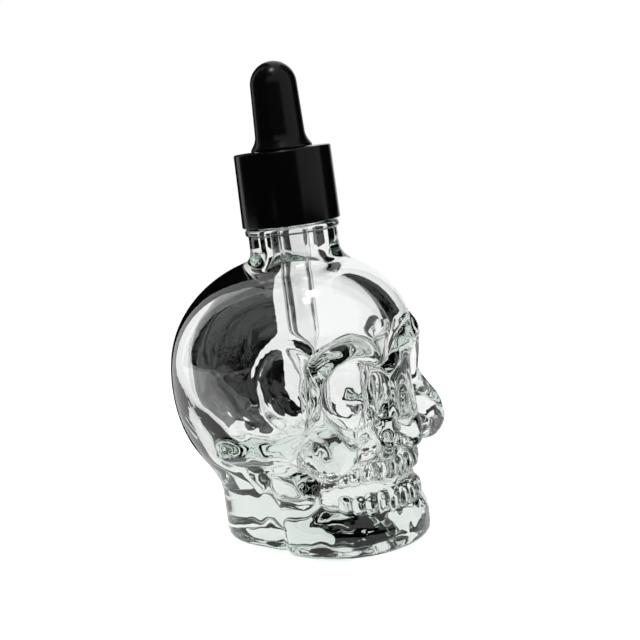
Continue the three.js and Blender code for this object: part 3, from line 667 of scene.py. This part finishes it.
def moulded(name, colour, roughness, spread, grain, depth):
    """A black moulding whose gloss is broken up a little by the grain of its mould, in millimetres."""
    made, tree = material(name)
    where = node(tree, "ShaderNodeTexCoord")
    noise = node(
        tree,
        "ShaderNodeTexNoise",
        {"Scale": 1 / (grain * MM), "Detail": MOULD_DETAIL},
        {"Vector": where.outputs["Object"]},
    )
    gloss = node(
        tree,
        "ShaderNodeMapRange",
        {"To Min": roughness - spread, "To Max": roughness + spread},
        {"Value": noise.outputs["Fac"]},
    )
    relief = node(
        tree,
        "ShaderNodeBump",
        {"Strength": MOULD_RELIEF, "Distance": depth * MM},
        {"Height": noise.outputs["Fac"]},
    )
    body = node(
        tree,
        "ShaderNodeBsdfPrincipled",
        {"Base Color": linear(colour), "IOR": PLASTIC_IOR, "Specular IOR Level": MOULD_SHEEN},
        {"Roughness": gloss.outputs["Result"], "Normal": relief.outputs["Normal"]},
    )
    node(tree, "ShaderNodeOutputMaterial", links={"Surface": body.outputs[0]})
    return made


# Blown in a mould, thick in the face and base: the tint gathers there and the dome stays white
bottle_glass = clear_glass("fire-polished bottle glass", tint="#c8dace", strength=20.0)
# Drawn to an even thin wall: only its two edges show as dark lines
pipette_glass = clear_glass("drawn tube glass", tint="#dcebe4", strength=20.0)
# Smooth ABS from a polished mould: nearly black, with thin soft lights along its edges
cap_plastic = moulded("moulded gloss ABS", "#040405", roughness=0.18, spread=0.04, grain=1.5, depth=0.01)
# Plain polypropylene, PP, from a dull mould: a soft grey sheen under the cap
insert_plastic = moulded("moulded PP", "#0d0d0e", roughness=0.4, spread=0.06, grain=0.8, depth=0.02)
# Moulded rubber: as black as the cap, with a broader light on its dome
bulb_rubber = moulded("moulded rubber", "#050506", roughness=0.24, spread=0.05, grain=0.7, depth=0.02)


# Pieces
def neck_thread(radius, angle, z):
    """How far the neck's thread stands out at an angle and a height of the finish."""
    if abs(radius - FINISH_RADIUS) > TINY:
        return 0
    turn = (angle / (2 * math.pi) + THREAD["start"]) % 1
    rise = (z - RING_TOP - THREAD["above_ring"]) / THREAD["pitch"]
    wound = turn + round(rise - turn)
    run_out = min(max(min(wound, THREAD["turns"] - wound) / THREAD["run_out"], 0), 1)
    off = min(abs(rise - wound) * THREAD["pitch"] / (THREAD["wide"] / 2), 1)
    return THREAD["out"] * run_out * math.cos(off * math.pi / 2)


def neck_finish():
    """The neck's ring, threaded finish and lip, as a grid that is open at both of its lower ends."""
    thread_low = RING_TOP + THREAD["above_ring"] - THREAD["wide"] / 2
    thread_high = thread_low + THREAD["wide"] + THREAD["turns"] * THREAD["pitch"]
    levels = np.arange(thread_low, thread_high, THREAD_ROW)
    outline = [
        (NECK_RADIUS, SEAM_LEVEL + GLASS_CELL, 0),
        (NECK_RADIUS, RING_TOP - RING_THICK, RING_FILLET),
        (RING_RADIUS, RING_TOP - RING_THICK, RING_EDGE),
        (RING_RADIUS, RING_TOP, RING_EDGE),
        (FINISH_RADIUS, RING_TOP, RING_FILLET),
        *((FINISH_RADIUS, z, 0) for z in levels),
        (FINISH_RADIUS, LIP_LEVEL, LIP_EDGE),
        (BORE_RADIUS, LIP_LEVEL, LIP_EDGE),
        (BORE_RADIUS, SEAM_LEVEL + GLASS_CELL, 0),
    ]
    return spun(eased(outline), NECK_COLUMNS, closed=False, swell=neck_thread)


def bottle():
    front, back = FACE_FRONT - NOSE["out"], HEAD_BEHIND_NECK + HEAD_LENGTH / 2
    low = [v - LATTICE_MARGIN for v in (-HEAD_WIDTH / 2, front, 0)]
    high = [*(v + LATTICE_MARGIN for v in (HEAD_WIDTH / 2, back)), SEAM_LEVEL]
    skull = skinned(glass, low, high, GLASS_CELL)
    piece = mesh_object("glass_skull", *spliced(*skull, *neck_finish()), bottle_glass)
    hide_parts("skull_bottle")
    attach(piece, "bottle")


def cap_shell():
    outline = [
        (CAP_RADIUS, CAP_BOTTOM, EASE["cap_foot"]),
        (CAP_RADIUS - CAP_DRAFT, CAP_TOP, EASE["cap_rim"]),
        (HOLE_RADIUS, CAP_TOP, EASE["hole"]),
        (HOLE_RADIUS, CAP_TOP - SHELL_PLATE, 0),
        (SHELL_INSIDE, CAP_TOP - SHELL_PLATE, 0),
        (SHELL_INSIDE, CAP_BOTTOM, EASE["inside"]),
    ]
    piece = turned("cap_outer_shell", eased(outline), cap_plastic)
    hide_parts("cap_shell")
    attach(piece, "cap")


def cap_insert():
    outer, bottom, under = SHELL_INSIDE - FIT_GAP, CAP_BOTTOM + INSERT_RECESS, INSERT_TOP - INSERT_PLATE
    outline = [
        (outer, bottom, EASE["hole"]),
        (outer, INSERT_TOP, EASE["inside"]),
        (HOLE_RADIUS, INSERT_TOP, EASE["fine"]),
        (HOLE_RADIUS, under, 0),
        (INSERT_BORE, under, 0),
        (INSERT_BORE, bottom, EASE["inside"]),
    ]
    piece = turned("cap_threaded_insert", eased(outline), insert_plastic)
    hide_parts("cap_insert")
    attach(piece, "cap")


def thread_tree():
    """A helical rib round the upright axis, right-handed, that thins out at both ends."""
    tree = bpy.data.node_groups.new("screw thread", "GeometryNodeTree")
    for name in ("Radius", "Rib", "Pitch", "Turns", "Start", "Run Out"):
        tree.interface.new_socket(name, in_out="INPUT", socket_type="NodeSocketFloat")
    tree.interface.new_socket("Plastic", in_out="INPUT", socket_type="NodeSocketMaterial")
    tree.interface.new_socket("Thread", in_out="OUTPUT", socket_type="NodeSocketGeometry")
    given = node(tree, "NodeGroupInput").outputs
    factors = {0: given["Pitch"], 1: given["Turns"]}
    height = node(tree, "ShaderNodeMath", links=factors, operation="MULTIPLY")
    helix = node(
        tree,
        "GeometryNodeCurveSpiral",
        {"Resolution": INSERT_RIB["steps"], "Reverse": True},
        {
            "Rotations": given["Turns"],
            "Start Radius": given["Radius"],
            "End Radius": given["Radius"],
            "Height": height.outputs[0],
        },
    )
    along = node(tree, "GeometryNodeSplineParameter")
    half = 0.5
    from_end = node(tree, "ShaderNodeMath", {1: half}, {0: along.outputs["Factor"]}, operation="PINGPONG")
    taper = node(
        tree,
        "ShaderNodeMapRange",
        {"To Min": INSERT_RIB["end_share"], "To Max": 1.0},
        {"Value": from_end.outputs[0], "From Max": given["Run Out"]},
    )
    tapered = node(
        tree,
        "GeometryNodeSetCurveRadius",
        links={"Curve": helix.outputs["Curve"], "Radius": taper.outputs["Result"]},
    )
    section = node(
        tree,
        "GeometryNodeCurvePrimitiveCircle",
        {"Resolution": INSERT_RIB["sides"]},
        {"Radius": given["Rib"]},
    )
    rib = node(
        tree,
        "GeometryNodeCurveToMesh",
        {"Fill Caps": True},
        {"Curve": tapered.outputs["Curve"], "Profile Curve": section.outputs["Curve"]},
    )
    lift = node(tree, "ShaderNodeCombineXYZ", links={"Z": given["Start"]})
    placed = node(
        tree,
        "GeometryNodeTransform",
        links={"Geometry": rib.outputs["Mesh"], "Translation": lift.outputs["Vector"]},
    )
    realized = node(tree, "GeometryNodeRealizeInstances", links={"Geometry": placed.outputs["Geometry"]})
    coated = node(
        tree,
        "GeometryNodeSetMaterial",
        links={"Geometry": realized.outputs["Geometry"], "Material": given["Plastic"]},
    )
    node(tree, "NodeGroupOutput", links={"Thread": coated.outputs["Geometry"]})
    return tree


def insert_thread():
    """The insert's thread, drawn just clear of the neck's so that the cap can turn and lift."""
    tree = thread_tree()
    sizes = {
        "Radius": (INSERT_BORE - INSERT_RIB["out"] + INSERT_RIB["radius"]) * MM,
        "Rib": INSERT_RIB["radius"] * MM,
        "Pitch": THREAD["pitch"] * MM,
        "Turns": THREAD["turns"],
        "Start": (RING_TOP + THREAD["above_ring"] + THREAD["pitch"] / 2) * MM,
        "Run Out": THREAD["run_out"],
        "Plastic": insert_plastic,
    }
    piece = bpy.data.objects.new("insert_thread", bpy.data.meshes.new("insert_thread"))
    bpy.context.collection.objects.link(piece)
    winding = piece.modifiers.new("winding", "NODES")
    winding.node_group = tree
    for socket in tree.interface.items_tree:
        if socket.in_out == "INPUT":
            winding[socket.identifier] = sizes[socket.name]
    evaluated = piece.evaluated_get(bpy.context.evaluated_depsgraph_get())
    mesh = bpy.data.meshes.new_from_object(evaluated)
    piece.modifiers.clear()
    piece.data = mesh
    mesh.shade_smooth()
    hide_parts("cap_insert")
    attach(piece, "cap")


def quarter(radius, foot, top):
    """Corners of a dome's outline from its foot up to the axis."""
    sweep = np.linspace(0, math.pi / 2, DOME_STEPS)[:-1]
    rising = [(radius * math.cos(a), foot + (top - foot) * math.sin(a), 0) for a in sweep]
    return [*rising, (0, top, 0)]


def rubber_bulb():
    foot, top = CAP_TOP + FIT_GAP, CAP_TOP + BULB_TALL
    dome_foot = top - BULB_TOP_RADIUS
    bore, seat = PIPETTE_RADIUS + FIT_GAP, PIPETTE_TOP + FIT_GAP
    inner = quarter(BULB_TOP_RADIUS - BULB_WALL, dome_foot, top - BULB_WALL)
    outline = [
        *inner[::-1],
        (BULB_RADIUS - BULB_WALL, seat + BULB_WALL, EASE["bulb_inside"]),
        (bore, seat, EASE["fine"]),
        (bore, FLANGE_BOTTOM, EASE["fine"]),
        (FLANGE_RADIUS, FLANGE_BOTTOM, EASE["flange"]),
        (FLANGE_RADIUS, FLANGE_TOP, EASE["flange"]),
        (GROOVE_RADIUS, FLANGE_TOP, EASE["fine"]),
        (GROOVE_RADIUS, foot, EASE["fine"]),
        (FLARE_RADIUS, foot, EASE["fine"]),
        (FLARE_RADIUS, foot + FLARE_EDGE, EASE["inside"]),
        (BULB_RADIUS, foot + FLARE_TALL, EASE["bulb_foot"]),
        *quarter(BULB_TOP_RADIUS, dome_foot, top),
    ]
    piece = turned("squeeze_bulb", eased(outline), bulb_rubber, closed=False)
    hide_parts("rubber_bulb")
    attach(piece, "dropper")


def glass_pipette():
    bottom = PIPETTE_TOP - PIPETTE_LENGTH
    shoulder = bottom + TIP_LENGTH
    outline = [
        (TIP_RADIUS, bottom, EASE["tip"]),
        (TIP_RADIUS + TIP_DRAFT, shoulder - TIP_SHOULDER, EASE["drawn"]),
        (PIPETTE_RADIUS, shoulder, EASE["drawn"]),
        (PIPETTE_RADIUS, PIPETTE_TOP, EASE["tip"]),
        (PIPETTE_RADIUS - PIPETTE_WALL, PIPETTE_TOP, EASE["tip"]),
        (PIPETTE_RADIUS - PIPETTE_WALL, shoulder, EASE["drawn"]),
        (TIP_BORE + TIP_DRAFT / 2, shoulder - TIP_SHOULDER, EASE["drawn"]),
        (TIP_BORE, bottom, EASE["tip"]),
    ]
    piece = turned("drawn_pipette", eased(outline, DRAWN_STEPS), pipette_glass, columns=PIPETTE_COLUMNS)
    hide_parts("glass_pipette")
    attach(piece, "dropper")


bottle()
cap_shell()
cap_insert()
insert_thread()
rubber_bulb()
glass_pipette()

# Camera: three-quarter view from the skull's right, turned a little in its own plane as the photograph is
CAMERA_TURN = math.radians(-48)
CAMERA_OUT = 0.275
CAMERA_HEIGHT = 0.095
AIM_HEIGHT = 0.053
CAMERA_ROLL = math.radians(7.5)
LENS = 68.46
SENSOR = 36
PICTURE_WIDTH = 640
SHIFT_RIGHT = 17.1
SHIFT_UP = -11.0
NEAR_LIMIT = 0.01

# Studio, in metres: rightward and away from the camera along the floor, then up
RIGHTWARD = Vector((math.cos(CAMERA_TURN), math.sin(CAMERA_TURN), 0))
AWAY = Vector((-math.sin(CAMERA_TURN), math.cos(CAMERA_TURN), 0))
UP = Vector((0, 0, 1))
# Black cards: upright ones from place to place with their lowest and highest level, level ones by corners
UPRIGHT_CARDS = {
    "left card": [(-0.05, 0.045), (-0.007, 0.045), 0.004, 0.3],
    "side card": [(-0.3, 0.2), (-0.3, -0.5), 0.03, 0.6],
    "front card": [(-0.3, -0.5), (0.3, -0.5), 0.0, 0.24],
    "far right card": [(0.24, 0.02), (0.24, 0.4), 0.0, 0.6],
    "low card": [(-0.02, 0.055), (0.12, 0.055), 0.0, 0.01],
}
LEVEL_CARDS = {
    "top card": [(-0.3, -0.5), (-0.03, 0.1), 0.6],
    "table card": [(-0.5, -0.5), (0.5, -0.035), 0.001],
}
CARD_BLACK = "#080808"
PAPER_WHITE = "#f9f9f9"
ROOM_LEVEL = 0.45
FLOOR_HALF = 0.9
FLOOR_FADE = (0.12, 0.3)
TOP_LIGHT = dict(place=(0.05, 0.05, 0.8), aim=(0, 0, 0), size=(0.5, 0.5), power=9.0, mirrored=False)
BULB_PLACE = UP * 0.58 - AWAY * 0.12
BULB_LIGHT = dict(place=BULB_PLACE, aim=UP * 0.1, size=(0.09, 0.09), power=0.9, mirrored=True)


def camera():
    data = bpy.data.cameras.new("camera")
    data.sensor_width = SENSOR
    data.lens = LENS
    data.shift_x, data.shift_y = SHIFT_RIGHT / PICTURE_WIDTH, SHIFT_UP / PICTURE_WIDTH
    data.clip_start = NEAR_LIMIT
    eye_point = UP * CAMERA_HEIGHT - AWAY * CAMERA_OUT
    ahead = (UP * AIM_HEIGHT - eye_point).normalized()
    right = ahead.cross(UP).normalized()
    up = right.cross(ahead)
    c, s = math.cos(CAMERA_ROLL), math.sin(CAMERA_ROLL)
    axes = Matrix((c * right - s * up, s * right + c * up, -ahead)).transposed()
    shot = bpy.data.objects.new("camera", data)
    shot.matrix_world = Matrix.Translation(eye_point) @ axes.to_4x4()
    bpy.context.collection.objects.link(shot)
    bpy.context.scene.camera = shot


def seen_white(tree, directly=None):
    """How white a ray sees the studio: fully in gloss and through glass, by a share from the camera."""
    path = node(tree, "ShaderNodeLightPath")
    seen = path.outputs["Is Camera Ray"]
    if directly is not None:
        seen = node(tree, "ShaderNodeMath", links={0: seen, 1: directly}, operation="MULTIPLY").outputs[0]
    for kind in ("Is Glossy Ray", "Is Transmission Ray"):
        either = node(tree, "ShaderNodeMath", links={0: seen, 1: path.outputs[kind]}, operation="MAXIMUM")
        seen = either.outputs[0]
    return seen


def sheet(name, corners, finish):
    """A flat sheet of the studio."""
    mesh = bpy.data.meshes.new(name)
    mesh.from_pydata(corners, [], [tuple(range(len(corners)))])
    mesh.materials.append(finish)
    made = bpy.data.objects.new(name, mesh)
    bpy.context.collection.objects.link(made)
    return made


def backdrop():
    """A white sweep to the eye, in gloss and through glass, that lights the object as a grey room."""
    world = bpy.data.worlds.new("white sweep")
    world.use_nodes = True
    tree = world.node_tree
    tree.nodes.clear()
    white = node(tree, "ShaderNodeBackground", {"Color": WHITE, "Strength": 1.0})
    room = node(tree, "ShaderNodeBackground", {"Color": WHITE, "Strength": ROOM_LEVEL})
    mixed = node(
        tree,
        "ShaderNodeMixShader",
        links={0: seen_white(tree), 1: room.outputs[0], 2: white.outputs[0]},
    )
    node(tree, "ShaderNodeOutputWorld", links={"Surface": mixed.outputs[0]})
    bpy.context.scene.world = world


def cards():
    """Black cards that only gloss and glass show: they draw the dark lines of clear glass."""
    made, tree = material("black card")
    face = node(tree, "ShaderNodeBsdfDiffuse", {"Color": linear(CARD_BLACK)})
    node(tree, "ShaderNodeOutputMaterial", links={"Surface": face.outputs[0]})
    corners = {}
    for name, (start, end, low, high) in UPRIGHT_CARDS.items():
        corners[name] = [(*start, low), (*end, low), (*end, high), (*start, high)]
    for name, ((left, near), (right, far), level) in LEVEL_CARDS.items():
        corners[name] = [(left, near, level), (right, near, level), (right, far, level), (left, far, level)]
    for name, places in corners.items():
        spots = [RIGHTWARD * across + AWAY * away + UP * up for across, away, up in places]
        card = sheet(name, spots, made)
        card.visible_camera = card.visible_diffuse = card.visible_shadow = False


def floor():
    """White paper that runs out into the white of the background."""
    made, tree = material("white studio paper")
    where = node(tree, "ShaderNodeTexCoord")
    reach = node(tree, "ShaderNodeVectorMath", links={0: where.outputs["Object"]}, operation="LENGTH")
    fade = node(
        tree,
        "ShaderNodeMapRange",
        {"From Min": FLOOR_FADE[0], "From Max": FLOOR_FADE[1]},
        {"Value": reach.outputs["Value"]},
    )
    seen = seen_white(tree, fade.outputs["Result"])
    paper = node(tree, "ShaderNodeBsdfDiffuse", {"Color": linear(PAPER_WHITE)})
    white = node(tree, "ShaderNodeEmission", {"Color": WHITE, "Strength": 1.0})
    mixed = node(tree, "ShaderNodeMixShader", links={0: seen, 1: paper.outputs[0], 2: white.outputs[0]})
    node(tree, "ShaderNodeOutputMaterial", links={"Surface": mixed.outputs[0]})
    half = FLOOR_HALF
    sheet("floor", [(-half, -half, 0), (half, -half, 0), (half, half, 0), (-half, half, 0)], made)


def panel(name, place, aim, size, power, mirrored):
    data = bpy.data.lights.new(name, "AREA")
    data.shape = "RECTANGLE"
    data.size, data.size_y = size
    data.energy = power
    lamp = bpy.data.objects.new(name, data)
    turn = (Vector(aim) - Vector(place)).to_track_quat("-Z", "Y")
    lamp.matrix_world = Matrix.Translation(place) @ turn.to_matrix().to_4x4()
    lamp.visible_glossy = lamp.visible_transmission = mirrored
    bpy.context.collection.objects.link(lamp)


camera()
backdrop()
floor()
cards()
panel("top light", **TOP_LIGHT)
panel("bulb light", **BULB_LIGHT)

bpy.context.scene.view_settings.view_transform = "Standard"
